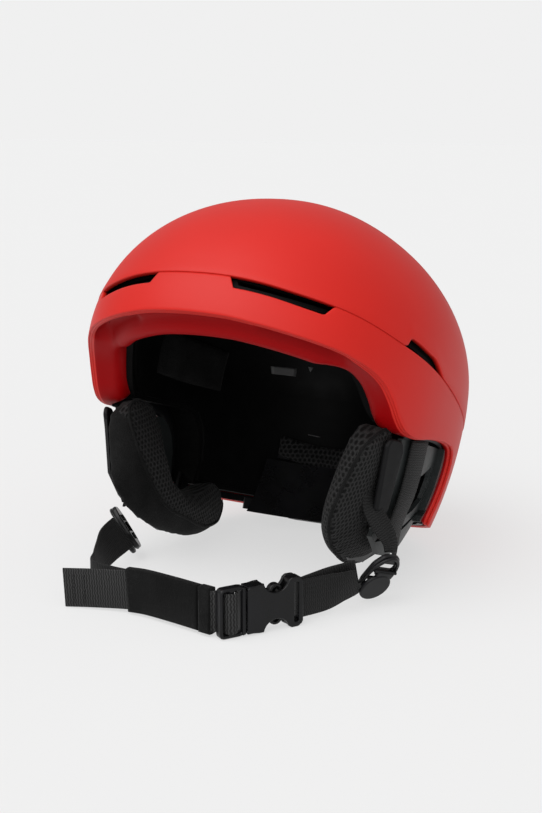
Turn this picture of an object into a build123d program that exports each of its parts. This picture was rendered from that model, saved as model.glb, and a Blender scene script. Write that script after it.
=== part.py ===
from build123d import *
import math
import os

# Ski helmet, millimetres.  The shell and liner are drawn in the head frame: its
# origin is the centre of the egg, -Y is forward, +Z is up and +X is the wearer's
# left.  The finished helmet rests on its rear edge and its ear pads, pitched back.

HALF_WIDTH = 117.0
HALF_LENGTH = 144.0
CROWN_HEIGHT = 111.0
LOWER_DEPTH = 193.0
PITCH = 20.0
REAR_EDGE_Z = -85.0
SHELL = 3.0
LINER_IN = 25.0
SLIP_IN = 27.0
FIT = 0.3
WEB_THICK = 1.6
SIDE_WEB = 20.0
CHIN_WEB = 24.5
PAD_LEAN = 0.32
PAD_INNER = 84.4
PAD_OUTER = 104.4
BUCKLE_TURN = 56.9
BUCKLE_HEIGHT = 30.0
BUCKLE_THICK = 9.6

HEAD = Rot(-PITCH, 0, 0)
FLOOR = (
    -HALF_LENGTH
    * math.sqrt(1 - (REAR_EDGE_Z / LOWER_DEPTH) ** 2)
    * math.sin(math.radians(PITCH))
    + REAR_EDGE_Z * math.cos(math.radians(PITCH))
)

nodes = {}
eggs = {}
skins = {}


def egg(inset):
    """The upper and lower halves of the egg whose half axes are shorter by inset."""
    if inset not in eggs:
        a = HALF_WIDTH - inset
        b = HALF_LENGTH - inset
        upper = scale(Sphere(1), by=(a, b, CROWN_HEIGHT - inset))
        lower = scale(Sphere(1), by=(a, b, LOWER_DEPTH - inset))
        upper &= Pos(0, 0, 200) * Box(400, 400, 400)
        lower &= Pos(0, 0, -200) * Box(400, 400, 400)
        eggs[inset] = (upper, lower)
    return eggs[inset]


def layer(outer, inner, region, holes=()):
    """The part of the wall between two insets inside a region, less some holes."""
    if (outer, inner) not in skins:
        pairs = zip(egg(outer), egg(inner))
        skins[(outer, inner)] = [high - low for high, low in pairs]
    pieces = []
    for skin in skins[(outer, inner)]:
        piece = skin & region
        if piece and piece.volume > 1:
            for hole in holes:
                piece -= hole
            pieces.append(piece)
    return pieces[0] + pieces[1] if len(pieces) == 2 else pieces[0]


def side_prism(points, near=-200.0, far=200.0, curve=None):
    """A prism along X.  points are (y, z); curve is a smooth run put before them."""
    edges = []
    start = None
    if curve:
        edges.append(Spline(*[(0, y, z) for y, z in curve]))
        start = curve[-1]
        points = points + [curve[0]]
    else:
        start = points[0]
        points = points[1:] + [points[0]]
    for point in points:
        edges.append(Line((0, *start), (0, *point)))
        start = point
    face = make_face(Wire(edges))
    return Pos(near, 0, 0) * extrude(face, amount=far - near, dir=(1, 0, 0))


def mirrored(shape):
    return mirror(shape, about=Plane.YZ)


def both_sides(name, left_shape):
    """Stores a shape for the wearer's left and its mirror image for the right."""
    nodes[name + "_left"] = left_shape
    nodes[name + "_right"] = mirrored(left_shape)


def unit(vector):
    return Vector(*vector).normalized()


def ribbon(stations, width, thick, shift=0.0):
    """Flat webbing.  Each station is (centre, width direction); shift moves the
    ribbon along its own face normal."""
    wires = []
    for i, (centre, across) in enumerate(stations):
        before = Vector(*stations[max(i - 1, 0)][0])
        after = Vector(*stations[min(i + 1, len(stations) - 1)][0])
        along = (after - before).normalized()
        across = unit(across)
        across = (across - along * across.dot(along)).normalized()
        normal = along.cross(across)
        middle = Vector(*centre) + normal * shift
        corners = []
        for w, t in ((-1, -1), (1, -1), (1, 1), (-1, 1)):
            corners.append(middle + across * (w * width / 2) + normal * (t * thick / 2))
        wires.append(Wire.make_polygon(corners, close=True))
    return Solid.make_loft(wires, ruled=True)


# ---------------------------------------------------------------- shell and liner

BRIM = [
    (-143.4, 10.3), (-131, 7.6), (-107, 2), (-84, -5.4), (-73, -11),
    (-64, -20), (-56, -29.5), (-47, -35.5), (-34, -36.7),
]
EAR_CUT = [(24, -33), (34, -36), (40, -46), (41, -58), (39, -71), (33, REAR_EDGE_Z)]
TOP_LEFT = [(170, REAR_EDGE_Z), (170, 130), (-170, 130), (-170, 13)]
SEAM = [
    (-150, 37), (-137, 34.5), (-121, 29), (-98, 24), (-69, 16),
    (-18, 4.5), (30, -8), (60, -15), (150, -25),
]


def wall_region(dy=0.0, dz=0.0):
    return Pos(0, dy, dz) * side_prism(EAR_CUT + TOP_LEFT, curve=BRIM)


def seam_region(up):
    """Everything above the seam, or everything below it."""
    z = 140 if up else -140
    return side_prism([(150, z), (-150, z)], curve=SEAM)


FRONT_VENT = [(24, 33), (83, 26), (78, 22), (27, 27.8)]
SIDE_VENT = [(-59, 16.5), (-53, 17.5), (-20, 8), (-12, 1), (-18, -2), (-40, 7.5)]
REAR_VENT = [(16, 26), (50, 20), (46, 13), (18, 18)]


def vent_cut(kind, grow=0.0):
    """A vent's outline as a prism on the wearer's left, its sides moved out by grow."""
    outline = {"front": FRONT_VENT, "side": SIDE_VENT, "rear": REAR_VENT}[kind]
    face = make_face(Polyline(*[(u, v) for u, v in outline], close=True))
    if grow:
        face = offset(face, grow, kind=Kind.INTERSECTION)
    if kind == "side":
        place = Plane(origin=(60, 0, 0), x_dir=(0, 1, 0), z_dir=(1, 0, 0))
        return extrude(place * face, amount=80)
    place = Plane(origin=(0, -160 if kind == "front" else 70, 0), x_dir=(1, 0, 0), z_dir=(0, -1, 0))
    return extrude(place * face, amount=-90)


def vent_pair(kind, grow=0.0):
    cut = vent_cut(kind, grow)
    return [cut, mirrored(cut)]


def make_shell():
    above = Pos(0, 0, FIT) * seam_region(True)
    below = wall_region() & seam_region(False)
    nodes["crown_shell"] = layer(0, SHELL, above, vent_pair("rear"))
    nodes["lower_shell"] = layer(0, SHELL, below, vent_pair("front") + vent_pair("side"))


def make_vents():
    """A dark louvre in each vent."""
    for kind in ("front", "side", "rear"):
        frame = layer(SHELL + 0.2, 9, vent_cut(kind, 1.5), [vent_cut(kind, -1.2)])
        both_sides(kind + "_vent", frame)


def make_liner():
    band = wall_region() - wall_region(5, 5.5)
    front = Pos(0, -100, 0) * Box(400, 128, 400)
    nodes["brow_frame"] = layer(SHELL + 0.2, LINER_IN, band & front)
    holes = [Pos(0, 100, -78) * Box(54, 30, 50)]
    for kind in ("front", "side", "rear"):
        holes += vent_pair(kind, 1.5 + FIT)
    nodes["foam_liner"] = layer(SHELL + 0.2, LINER_IN, wall_region(5.3, 5.8), holes)
    nodes["slip_liner"] = layer(LINER_IN + 0.2, SLIP_IN, wall_region(8, 9), holes[:1])
    trim_zone = Pos(0, 88, REAR_EDGE_Z + 2.8) * Box(300, 92, 5)
    nodes["rear_trim"] = layer(SHELL + 0.2, SHELL + 4, trim_zone & wall_region(0.5, 0.5))


def comfort_pads():
    start = SLIP_IN + FIT
    end = SLIP_IN + 6
    nodes["brow_pad"] = layer(start, end, Pos(0, -100, 24) * Box(130, 70, 16))
    nodes["crown_pad"] = layer(start, end, Pos(0, 4, 80) * Box(60, 100, 80))
    side = layer(start, end, Pos(80, 25, 6) * Box(60, 80, 34))
    both_sides("side_pad", side)


# ----------------------------------------------------------------- ear hardware

CHASSIS = [
    (-34, -38), (26, -36), (33, -40), (37, -48), (38, -58), (36, -71), (30, -87),
    (22, -101), (8, -109), (-8, -109), (-27, -99), (-27, -70), (-34, -56),
]
CHASSIS_RIM = [
    (26, -36), (33, -40), (37, -48), (38, -58), (36, -71), (30, -84), (26, -84),
    (30, -60), (28, -44),
]
WINDOW = [(22, -48), (26, -56), (25, -69), (14, -78), (-3, -86), (-7, -76), (2, -58)]
SLOT = [(30, -78), (31, -74), (4, -91.5), (-20, -99), (-20, -102), (4, -95)]
PAD_FRONT = [
    (-70, -40), (-72, -62), (-71, -84), (-62, -101), (-40, -113), (-12, -121), (16, -121),
    (40, -106), (54, -88), (56, -68), (44, -60), (30, -64), (22, -80), (-4, -88),
    (-24, -78), (-34, -58), (-38, -34), (-46, -31), (-62, -32),
]
CARRIER = [
    (-64, -50), (-66, -84), (-56, -97), (-36, -108), (-10, -115), (14, -115), (30, -104),
    (38, -88), (38, -76), (30, -72), (20, -86), (-4, -94), (-28, -84), (-38, -60), (-42, -50),
]
ARM = [(-51, -44), (-47, -40), (-38, -40), (-35, -43), (-28.5, -80), (-41.5, -80)]


def lean_slab(outline, inner, outer):
    """A slab on the wearer's left between two planes that lean in towards the chin."""
    prism = side_prism(outline, near=20, far=150)
    for offset, keep in ((inner, 1), (outer, -1)):
        normal = Vector(keep, 0, -keep * PAD_LEAN)
        plane = Plane(origin=(offset, 0, 0), z_dir=normal)
        half = plane * Pos(0, 0, 200) * Box(600, 600, 400)
        prism &= half
    return prism


def make_ears():
    chassis = layer(8, 11, side_prism(CHASSIS, near=50))
    rim = layer(SHELL + 0.4, 11, side_prism(CHASSIS_RIM, near=50))
    holes = side_prism(WINDOW, near=50) + side_prism(SLOT, near=50)
    both_sides("ear_chassis", chassis + rim - holes)
    both_sides("chassis_arm", layer(5, 7.5, side_prism(ARM, near=50)))
    wall = layer(-1.0, SLIP_IN + 1, Pos(0, 0, -0.8) * wall_region())
    pad = lean_slab(PAD_FRONT, PAD_INNER, PAD_OUTER) - wall
    both_sides("ear_pad", pad)
    both_sides("ear_carrier", lean_slab(CARRIER, PAD_OUTER + 0.3, PAD_OUTER + 2.5))


# ------------------------------------------------------------------ fit system

RING_Y = 28.5
RACK_Z = -76.0
CRADLE_OUT = 40.5
BAND_IN = 66.9
BAND_OUT = 68.5
BAND_HEIGHT = 8.0
RACK_GAP = 1.0
PINION_PITCH = 5.0
PINION_TEETH = 10
TOOTH = 0.9
SHAFT_R = 2.0
KNOB_R = 14.0


def ring(inner, outer, height, z):
    tube = Cylinder(outer, height) - Cylinder(inner, height + 1)
    return Pos(0, RING_Y, z) * tube


def sector(start, end):
    """A wedge about the ring's centre.  Angles run from the rear towards +X."""
    span = []
    for i in range(7):
        angle = math.radians(start + (end - start) * i / 6)
        span.append((120 * math.sin(angle), RING_Y + 120 * math.cos(angle)))
    face = make_face(Polyline((0, RING_Y), *span, close=True))
    return Pos(0, 0, -150) * extrude(face, amount=200, dir=(0, 0, 1))


def make_band(sign):
    """A toothed band.  Sign +1 is the wearer's left, which runs above the pinion."""
    z = RACK_Z + sign * (PINION_PITCH + RACK_GAP + BAND_HEIGHT / 2)
    span = sector(-3.5, 49) if sign > 0 else sector(-49, 3.5)
    band = ring(BAND_IN, BAND_OUT, BAND_HEIGHT, z) & span
    middle = (BAND_IN + BAND_OUT) / 2
    step = 2 * PINION_PITCH / PINION_TEETH * 180 / middle
    tall = RACK_GAP + 1.0
    z = RACK_Z + sign * (PINION_PITCH - 0.8 + tall / 2)
    for i in range(-1, 6):
        turn = i * step * sign
        angle = math.radians(turn)
        place = Pos(middle * math.sin(angle), RING_Y + middle * math.cos(angle), z)
        band += place * Rot(0, 0, -turn) * Box(TOOTH, BAND_OUT - BAND_IN, tall)
    return band


def make_fit_system():
    zone = Pos(0, 100, -72) * Box(80, 140, 40)
    nodes["cradle"] = layer(CRADLE_OUT, CRADLE_OUT + 3, zone)
    pad_zone = Pos(0, 100, -42) * Box(96, 140, 19)
    nodes["cradle_pad"] = layer(CRADLE_OUT, CRADLE_OUT + 6, pad_zone)
    hanger_zone = Pos(30, 100, -43) * Box(12, 90, 14)
    both_sides("cradle_hanger", layer(SLIP_IN + FIT, CRADLE_OUT - FIT, hanger_zone))
    body = Pos(0, 96.3, RACK_Z) * Box(44, 14, 32)
    for sign in (1, -1):
        z = RACK_Z + sign * (PINION_PITCH + RACK_GAP + BAND_HEIGHT / 2)
        body -= ring(BAND_IN - FIT, BAND_OUT + FIT, BAND_HEIGHT + 2 * FIT, z)
    body -= ring(BAND_IN - FIT, BAND_OUT + FIT, 2 * PINION_PITCH + 3, RACK_Z) & (
        Pos(0, 98, RACK_Z) * Box(60, 20, 20)
    )
    axis = Pos(0, 98.6, RACK_Z) * Rot(90, 0, 0)
    body -= axis * Cylinder(SHAFT_R + 0.05, 30)
    body -= egg(CRADLE_OUT - FIT)[1]
    nodes["dial_housing"] = body
    nodes["band_left"] = make_band(1)
    nodes["band_right"] = make_band(-1)
    pinion = Cylinder(3.6, 1.4)
    for i in range(PINION_TEETH):
        pinion += Rot(0, 0, 360 / PINION_TEETH * i) * Pos(4.4, 0, 0) * Box(2.6, TOOTH, 1.4)
    middle = (BAND_IN + BAND_OUT) / 2
    mesh_y = RING_Y + middle
    nodes["dial_pinion"] = Pos(0, mesh_y, RACK_Z) * Rot(90, 0, 0) * (pinion - Cylinder(SHAFT_R, 6))
    knob = Cylinder(KNOB_R, 6)
    for i in range(18):
        knob -= Rot(0, 0, 20 * i) * Pos(KNOB_R + 0.4, 0, 0) * Cylinder(1.2, 8)
    knob = Pos(0, 106.8, RACK_Z) * Rot(90, 0, 0) * knob
    shaft = Pos(0, (106 + mesh_y) / 2 - 0.35, RACK_Z) * Rot(90, 0, 0) * Cylinder(SHAFT_R, 106.7 - mesh_y)
    nodes["dial_knob"] = knob + shaft


# ---------------------------------------------------------------- goggle clip

CLIP_Z = -58.0
CLIP_TILT = 13.2
CLIP_PIN = (0, 4.6, -12.0)


def make_goggle_clip():
    """A hinged clip for a goggle strap, drawn flat and laid on the rear of the shell."""
    rear = HALF_LENGTH * math.sqrt(1 - (CLIP_Z / LOWER_DEPTH) ** 2)
    place = Pos(0, rear, CLIP_Z) * Rot(-CLIP_TILT, 0, 0)
    pin_place = Pos(*CLIP_PIN) * Rot(0, 90, 0)
    plate = Box(24, 4.4, 32)
    for x in (-9.8, 9.8):
        plate += Pos(x, 0, 0) * pin_place * Cylinder(2.8, 4)
        plate += Pos(x, 3, CLIP_PIN[2]) * Box(4, 3.2, 5.6)
    plate -= pin_place * Cylinder(1.2, 40)
    lever = Pos(0, 6.6, -1) * Box(14.8, 2.4, 24)
    lever += Pos(0, 4.8, 12.4) * Box(14.8, 4.4, 2.8)
    lever += pin_place * Cylinder(2.4, 14.8)
    lever -= pin_place * Cylinder(1.25, 40)
    nodes["clip_base"] = place * plate - egg(-FIT)[1]
    nodes["clip_pin"] = place * pin_place * Cylinder(1.2, 23.4)
    nodes["clip_lever"] = place * lever


# --------------------------------------------------------------- straps (row frame)

DIVIDER = (97.0, -66.0, -104.0)
DIVIDER_X = Vector(0.6, 0, 0.8)
DIVIDER_N = Vector(0.695, -0.496, -0.521)
LEVER_PIN = (5.0, 0, 3.6)
RIGHT_SHIFT = (7.0, 11.0, 0.0)


def divider_place():
    return Location(Plane(origin=DIVIDER, x_dir=DIVIDER_X, z_dir=DIVIDER_N))


def both_dividers(name, left_shape):
    """The divider on the wearer's right lies further in and further back."""
    nodes[name + "_left"] = left_shape
    nodes[name + "_right"] = Pos(*RIGHT_SHIFT) * mirrored(left_shape)


def make_dividers():
    """A webbing divider: a two-slot frame and a round cam lever on a pin."""
    plate = extrude(SlotOverall(32, 21), amount=1.5, both=True)
    for x in (-7, 7):
        plate -= Pos(x, 0, 0) * Box(5, 16.5, 5)
    for y in (-8, 8):
        plate += Pos(LEVER_PIN[0], y, 2.6) * Box(4.4, 2, 5.2)
    pin_place = Pos(*LEVER_PIN) * Rot(90, 0, 0)
    plate -= pin_place * Cylinder(1.0, 30)
    lever = Pos(-7, 0, 4.4) * Cylinder(10.5, 2.6)
    lever -= Pos(LEVER_PIN[0] + 3, 0, 4) * Box(8, 30, 6)
    lever += Pos(LEVER_PIN[0] - 2.2, 0, LEVER_PIN[2]) * Box(4.4, 13.4, 3.6)
    lever += pin_place * Cylinder(1.8, 13.4)
    lever -= pin_place * Cylinder(1.05, 30)
    place = divider_place()
    both_dividers("divider", place * plate)
    both_dividers("cam_lever", place * lever)
    both_dividers("cam_pin", place * pin_place * Cylinder(1.0, 18))


# Stations of the side webbing on the wearer's left: centre, width direction and how
# far the right one's copy follows its divider.
REAR_WEB = [
    ((108.2, -17, -37.2), (0, 1, 0), 0.0), ((103.8, -13, -66), (0, 1, 0.1), 0.0),
    ((99.6, -15, -88), (0, 1, 0.1), 0.2), ((100.2, -23, -104), (0.1, 1, 0), 1.0),
]
FRONT_WEB = [
    ((94, -44, -46), (0, 1, -0.2), 0.0), ((91.6, -44, -66), (0, 1, -0.2), 0.15),
    ((90.8, -43, -76), (0.1, 1, 0.2), 0.3), ((94.2, -38, -90), (0.1, 1, 0.5), 0.8),
    ((96, -31, -99), (0.1, 1, 0.5), 1.0), ((97, -28.5, -104.5), (0.1, 1, 0.3), 1.0),
]


def right_stations(stations):
    """The stations mirrored and moved towards the right divider."""
    turn = math.radians(PITCH)
    dx, dy, dz = RIGHT_SHIFT
    move = (dx, dy * math.cos(turn) - dz * math.sin(turn), dy * math.sin(turn) + dz * math.cos(turn))
    out = []
    for (x, y, z), (a, b, c), share in stations:
        centre = (-x + move[0] * share, y + move[1] * share, z + move[2] * share)
        out.append((centre, (-a, b, c)))
    return out


def make_side_straps():
    """Webbing from under the shell's edge and from behind the arm to the divider."""
    for kind, stations, width in (("rear", REAR_WEB, SIDE_WEB), ("front", FRONT_WEB, SIDE_WEB - 3)):
        left = [(centre, across) for centre, across, _ in stations]
        nodes[kind + "_strap_left"] = ribbon(left, width, WEB_THICK)
        nodes[kind + "_strap_right"] = ribbon(right_stations(stations), width, WEB_THICK)
    nodes["ear_chassis_right"] -= ribbon(right_stations(FRONT_WEB), SIDE_WEB + 1, WEB_THICK + 3)


# Chin strap, on its edge on the surface the helmet stands on.
BUCKLE = (54.0, -136.0, FLOOR + 0.3 + BUCKLE_HEIGHT / 2)
TAIL_PATH = [
    (-72, -154), (-52, -149), (-30, -145), (-17, -146), (6, -150.5), (24, -154.5), (36.4, -157.2),
]


def buckle_place():
    return Pos(*BUCKLE) * Rot(0, 0, BUCKLE_TURN)


def tail_stations(first, last):
    """Stations of the tail's path: they drop from the buckle's middle to the floor."""
    path = TAIL_PATH[first:last]
    stations = []
    for x, y in path:
        lift = 3.0 * max(0.0, min(1.0, (x + 72) / 60))
        stations.append(((x, y, FLOOR + 0.2 + lift + CHIN_WEB / 2), (0, 0, 1)))
    return stations


def make_chin_straps():
    middle = FLOOR + 0.3 + BUCKLE_HEIGHT / 2
    fixed = [
        ((68.6, -113.6, middle), (0, 0, 1)), ((76, -98, middle - 0.4), (0.1, 0, 1)),
        ((83.5, -87, middle + 1.6), (0.4, -0.1, 1)), ((89.6, -81.4, middle + 4.4), (0.6, 0, 0.8)),
    ]
    nodes["chin_strap_left"] = ribbon(fixed, CHIN_WEB - 4, 2 * WEB_THICK)
    nodes["strap_tail"] = ribbon(tail_stations(0, 7), CHIN_WEB, WEB_THICK, shift=1.3)
    loop = [
        ((-84, -68.5, -102.5), (-0.6, 0, 0.8)), ((-84, -85, -106), (-0.35, 0, 0.9)),
        ((-80, -102, -109.4), (-0.1, 0, 1)), ((-72.5, -119, -111), (0, 0, 1)),
        ((-62, -135, -111.2), (0, 0, 1)),
    ]
    back = [
        ((x, y + 1.4, z), across)
        for (x, y, z), across in tail_stations(2, 7)
    ]
    nodes["chin_strap_right"] = ribbon(loop + back, CHIN_WEB - 1, WEB_THICK)
    sleeve = ribbon(tail_stations(2, 6), CHIN_WEB + 3, 8.4)
    long_void = ribbon(tail_stations(1, 7), CHIN_WEB + 0.8, 6.4)
    nodes["strap_sleeve"] = sleeve - long_void
    lift = FLOOR + 3.2 + CHIN_WEB / 2
    ends = [((25.8, -155.0, lift), (0, 0, 1)), ((32.6, -156.4, lift), (0, 0, 1))]
    nodes["strap_keeper"] = ribbon(ends, CHIN_WEB + 3.4, 8.8) - long_void


def make_buckle():
    """Side-release buckle.  Its length is X, its thickness Y and its height Z."""
    tall = BUCKLE_HEIGHT
    body = Pos(8, 0, 0) * Box(35, BUCKLE_THICK, tall)
    body = fillet(body.edges().filter_by(Axis.Z), 2.0)
    body -= Pos(2.5, 0, 0) * Box(27.2, 5.6, 25.6)
    for z in (-1, 1):
        body -= Pos(8.6, 0, z * 16) * Rot(90, 0, 0) * Cylinder(8.0, 30)
    body -= Pos(21.2, 0, 0) * Box(2.8, 20, 25)
    male = Pos(-17.8, 0, 0) * Box(15.4, 6.4, tall)
    male = fillet(male.edges().filter_by(Axis.Y), 2.5)
    male -= Pos(-21.6, 0, 0) * Box(3.2, 20, 25.4)
    male -= Pos(-14.4, 0, 0) * Box(4.0, 20, 25.4)
    male += Pos(0.6, 0, 0) * Box(21.4, 4.6, 3.0)
    place = buckle_place()
    nodes["buckle_female"] = place * body
    nodes["buckle_male"] = place * male
    for name, z in (("upper", 1), ("lower", -1)):
        arm = Pos(0.2, 0, 8.6 * z) * Box(18.6, 4.6, 2.8)
        arm += Pos(9.4, 0, 8.0 * z) * Rot(90, 0, 0) * Cylinder(4.2, 4.6)
        arm -= Pos(9.4, 0, 8.4 * z) * Rot(90, 0, 0) * Cylinder(1.8, 10)
        nodes["prong_" + name] = place * arm


ROW_NODES = (
    "divider", "cam_lever", "cam_pin", "chin_strap", "strap_", "buckle", "prong",
)


def main():
    make_shell()
    make_vents()
    make_liner()
    comfort_pads()
    make_ears()
    make_fit_system()
    make_goggle_clip()
    make_side_straps()
    make_dividers()
    make_chin_straps()
    make_buckle()
    placed = {}
    for name, shape in nodes.items():
        in_row = name.startswith(ROW_NODES)
        placed[name] = shape if in_row else HEAD * shape
    boxes = [shape.bounding_box() for shape in placed.values()]
    low_x = min(b.min.X for b in boxes)
    high_x = max(b.max.X for b in boxes)
    low_y = min(b.min.Y for b in boxes)
    high_y = max(b.max.Y for b in boxes)
    low_z = min(b.min.Z for b in boxes)
    move = Pos(-(low_x + high_x) / 2, -(low_y + high_y) / 2, -low_z)
    print("shift", -(low_x + high_x) / 2, -(low_y + high_y) / 2, -low_z, "floor", FLOOR)
    os.makedirs("parts", exist_ok=True)
    for name, shape in placed.items():
        export_step(move * shape, "parts/" + name + ".step")


main()
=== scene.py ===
import bmesh
import bpy
import math
import numpy as np
from mathutils import Matrix, Vector
from mathutils.bvhtree import BVHTree


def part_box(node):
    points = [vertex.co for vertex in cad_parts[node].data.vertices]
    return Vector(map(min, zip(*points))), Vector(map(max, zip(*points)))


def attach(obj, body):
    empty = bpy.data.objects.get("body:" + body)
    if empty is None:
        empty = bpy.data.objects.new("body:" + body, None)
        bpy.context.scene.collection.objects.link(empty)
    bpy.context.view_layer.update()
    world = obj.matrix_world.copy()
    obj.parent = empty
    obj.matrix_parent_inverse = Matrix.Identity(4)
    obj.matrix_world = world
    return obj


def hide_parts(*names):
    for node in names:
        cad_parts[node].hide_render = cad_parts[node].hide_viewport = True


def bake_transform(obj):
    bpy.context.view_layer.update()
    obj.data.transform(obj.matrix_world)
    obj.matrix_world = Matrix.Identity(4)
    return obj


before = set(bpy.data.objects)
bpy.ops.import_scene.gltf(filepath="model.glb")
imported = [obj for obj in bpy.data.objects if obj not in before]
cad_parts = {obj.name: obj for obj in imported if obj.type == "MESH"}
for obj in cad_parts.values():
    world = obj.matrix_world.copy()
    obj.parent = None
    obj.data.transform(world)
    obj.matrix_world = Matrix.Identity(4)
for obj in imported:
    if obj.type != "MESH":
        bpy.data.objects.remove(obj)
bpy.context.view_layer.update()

# The head frame is in millimetres from the egg's centre: -Y is forward, +X the wearer's
# left.  The row frame has the same centre but stands level on the floor.
low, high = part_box("crown_shell")
CENTRE = Vector(((low[0] + high[0]) / 2, high[1] - 0.1405, high[2] - 0.11535))
COS, SIN = math.cos(math.radians(20)), math.sin(math.radians(20))
FLOOR = -CENTRE.z * 1000
HALF = (117.0, 144.0, 111.0, 193.0)
ROUND = 2.2
FLOOR_GLOW = 0.606


def row(p):
    return CENTRE + Vector(p) * 0.001


def head(p):
    x, y, z = p
    return row((x, y * COS + z * SIN, -y * SIN + z * COS))


# ---- materials

class Nodes:
    """Small helper that adds and links shader nodes."""

    def __init__(self, name):
        self.mat = bpy.data.materials.new(name)
        self.mat.use_nodes = True
        self.tree = self.mat.node_tree
        self.shader = self.tree.nodes["Principled BSDF"]

    def add(self, kind, **sockets):
        node = self.tree.nodes.new(kind)
        for key, value in sockets.items():
            self.put(node, key, value)
        return node

    def put(self, node, key, value):
        socket = node.inputs[int(key[1:])] if key[0] == "i" and key[1:].isdigit() else node.inputs[key]
        if isinstance(value, bpy.types.NodeSocket):
            self.tree.links.new(value, socket)
        else:
            socket.default_value = value

    def math(self, op, a, b=0.0, c=0.0):
        node = self.add("ShaderNodeMath", i0=a, i1=b, i2=c)
        node.operation = op
        return node.outputs[0]

    def vector(self, op, a, b=(0, 0, 0)):
        node = self.add("ShaderNodeVectorMath", i0=a, i1=b)
        node.operation = op
        return node.outputs["Value"] if op in ("LENGTH", "DOT_PRODUCT") else node.outputs[0]

    def noise(self, vector, scale, detail=3.0, rough=0.55):
        node = self.add("ShaderNodeTexNoise", Vector=vector, Scale=scale, Detail=detail, Roughness=rough)
        return node.outputs["Fac"]

    def ramp(self, value, stops):
        node = self.add("ShaderNodeValToRGB", Fac=value)
        while len(node.color_ramp.elements) < len(stops):
            node.color_ramp.elements.new(0.5)
        for element, (at, colour) in zip(node.color_ramp.elements, stops):
            element.position = at
            element.color = (*colour, 1) if len(colour) == 3 else colour
        return node.outputs["Color"]

    def scalar(self, value, low, high, to_low, to_high):
        node = self.add("ShaderNodeMapRange", i0=value, i1=low, i2=high, i3=to_low, i4=to_high)
        return node.outputs[0]

    def coords(self):
        return self.tree.nodes.get("Coords") or self.named("ShaderNodeTexCoord", "Coords")

    def named(self, kind, name):
        node = self.tree.nodes.new(kind)
        node.name = name
        return node

    def bump(self, height, distance, strength=1.0):
        node = self.add("ShaderNodeBump", Height=height, Distance=distance, Strength=strength)
        self.put(self.shader, "Normal", node.outputs[0])

    def finish(self, colour, rough, **sockets):
        self.put(self.shader, "Base Color", (*colour, 1) if isinstance(colour, tuple) else colour)
        self.put(self.shader, "Roughness", rough)
        for key, value in sockets.items():
            self.put(self.shader, key.replace("_", " "), value)
        return self.mat


def plastic(name, dark, light, rough=0.45, grain=2600.0, depth=0.00002, **sockets):
    """Moulded plastic: a fine grain, a slow change of tone and of roughness."""
    n = Nodes(name)
    where = n.coords().outputs["Object"]
    slow = n.noise(where, 38.0, 3.0)
    fine = n.noise(where, grain, 2.0)
    n.bump(fine, depth, 0.6)
    tone = n.ramp(slow, [(0.3, dark), (0.7, light)])
    return n.finish(tone, n.scalar(n.noise(where, 90.0), 0.3, 0.7, rough - 0.06, rough + 0.06), **sockets)


def hex_cells(n, where, pitch):
    """0 at a cell's centre rising to 1 at the threads between cells."""
    size = (pitch, pitch * 1.732, 1.0)
    best = None
    for shift in ((0.0, 0.0, 0.0), (0.5, 0.5, 0.0)):
        scaled = n.vector("DIVIDE", where, size)
        moved = n.vector("ADD", scaled, shift)
        part = n.vector("FRACTION", moved)
        part = n.vector("SUBTRACT", part, (0.5, 0.5, 0.0))
        part = n.vector("MULTIPLY", part, (size[0], size[1], 0.0))
        length = n.vector("LENGTH", part)
        best = length if best is None else n.math("MINIMUM", best, length)
    return n.math("DIVIDE", best, pitch * 0.56)


def mesh_fabric(name, pitch=0.0046, light=0.020, dark=0.0015, depth=0.0009):
    """Spacer mesh: rings of thread round dark holes, laid on by the surface's direction."""
    n = Nodes(name)
    coords = n.coords()
    where = coords.outputs["Object"]
    warp = n.add("ShaderNodeTexNoise", Vector=where, Scale=130.0, Detail=1.0)
    drift = n.vector("MULTIPLY", n.vector("SUBTRACT", warp.outputs["Color"], (0.5, 0.5, 0.5)), (0.0012,) * 3)
    where = n.vector("ADD", where, drift)
    split = n.add("ShaderNodeSeparateXYZ", i0=where).outputs
    facing = n.add("ShaderNodeSeparateXYZ", i0=coords.outputs["Normal"]).outputs
    from_side = n.add("ShaderNodeCombineXYZ", i0=split[1], i1=split[2]).outputs[0]
    from_front = n.add("ShaderNodeCombineXYZ", i0=split[0], i1=split[2]).outputs[0]
    side = n.math("ABSOLUTE", facing[0])
    pick = n.scalar(side, 0.55, 0.75, 0.0, 1.0)
    a = hex_cells(n, from_side, pitch)
    b = hex_cells(n, from_front, pitch)
    mix = n.add("ShaderNodeMix", i0=pick, i2=b, i3=a)
    cell = mix.outputs[0]
    ring = n.scalar(cell, 0.35, 0.8, 0.0, 1.0)
    thread = n.noise(where, 2100.0, 2.0, 0.7)
    height = n.math("MULTIPLY_ADD", thread, 0.35, ring)
    n.bump(height, depth, 0.9)
    shade = n.math("MULTIPLY", ring, n.scalar(thread, 0.35, 0.7, 0.35, 1.2))
    tone = n.ramp(shade, [(0.12, (dark,) * 3), (0.95, (light,) * 3)])
    return n.finish(tone, 0.8, Sheen_Weight=0.02, Sheen_Roughness=0.5, Specular_IOR_Level=0.12)


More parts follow.
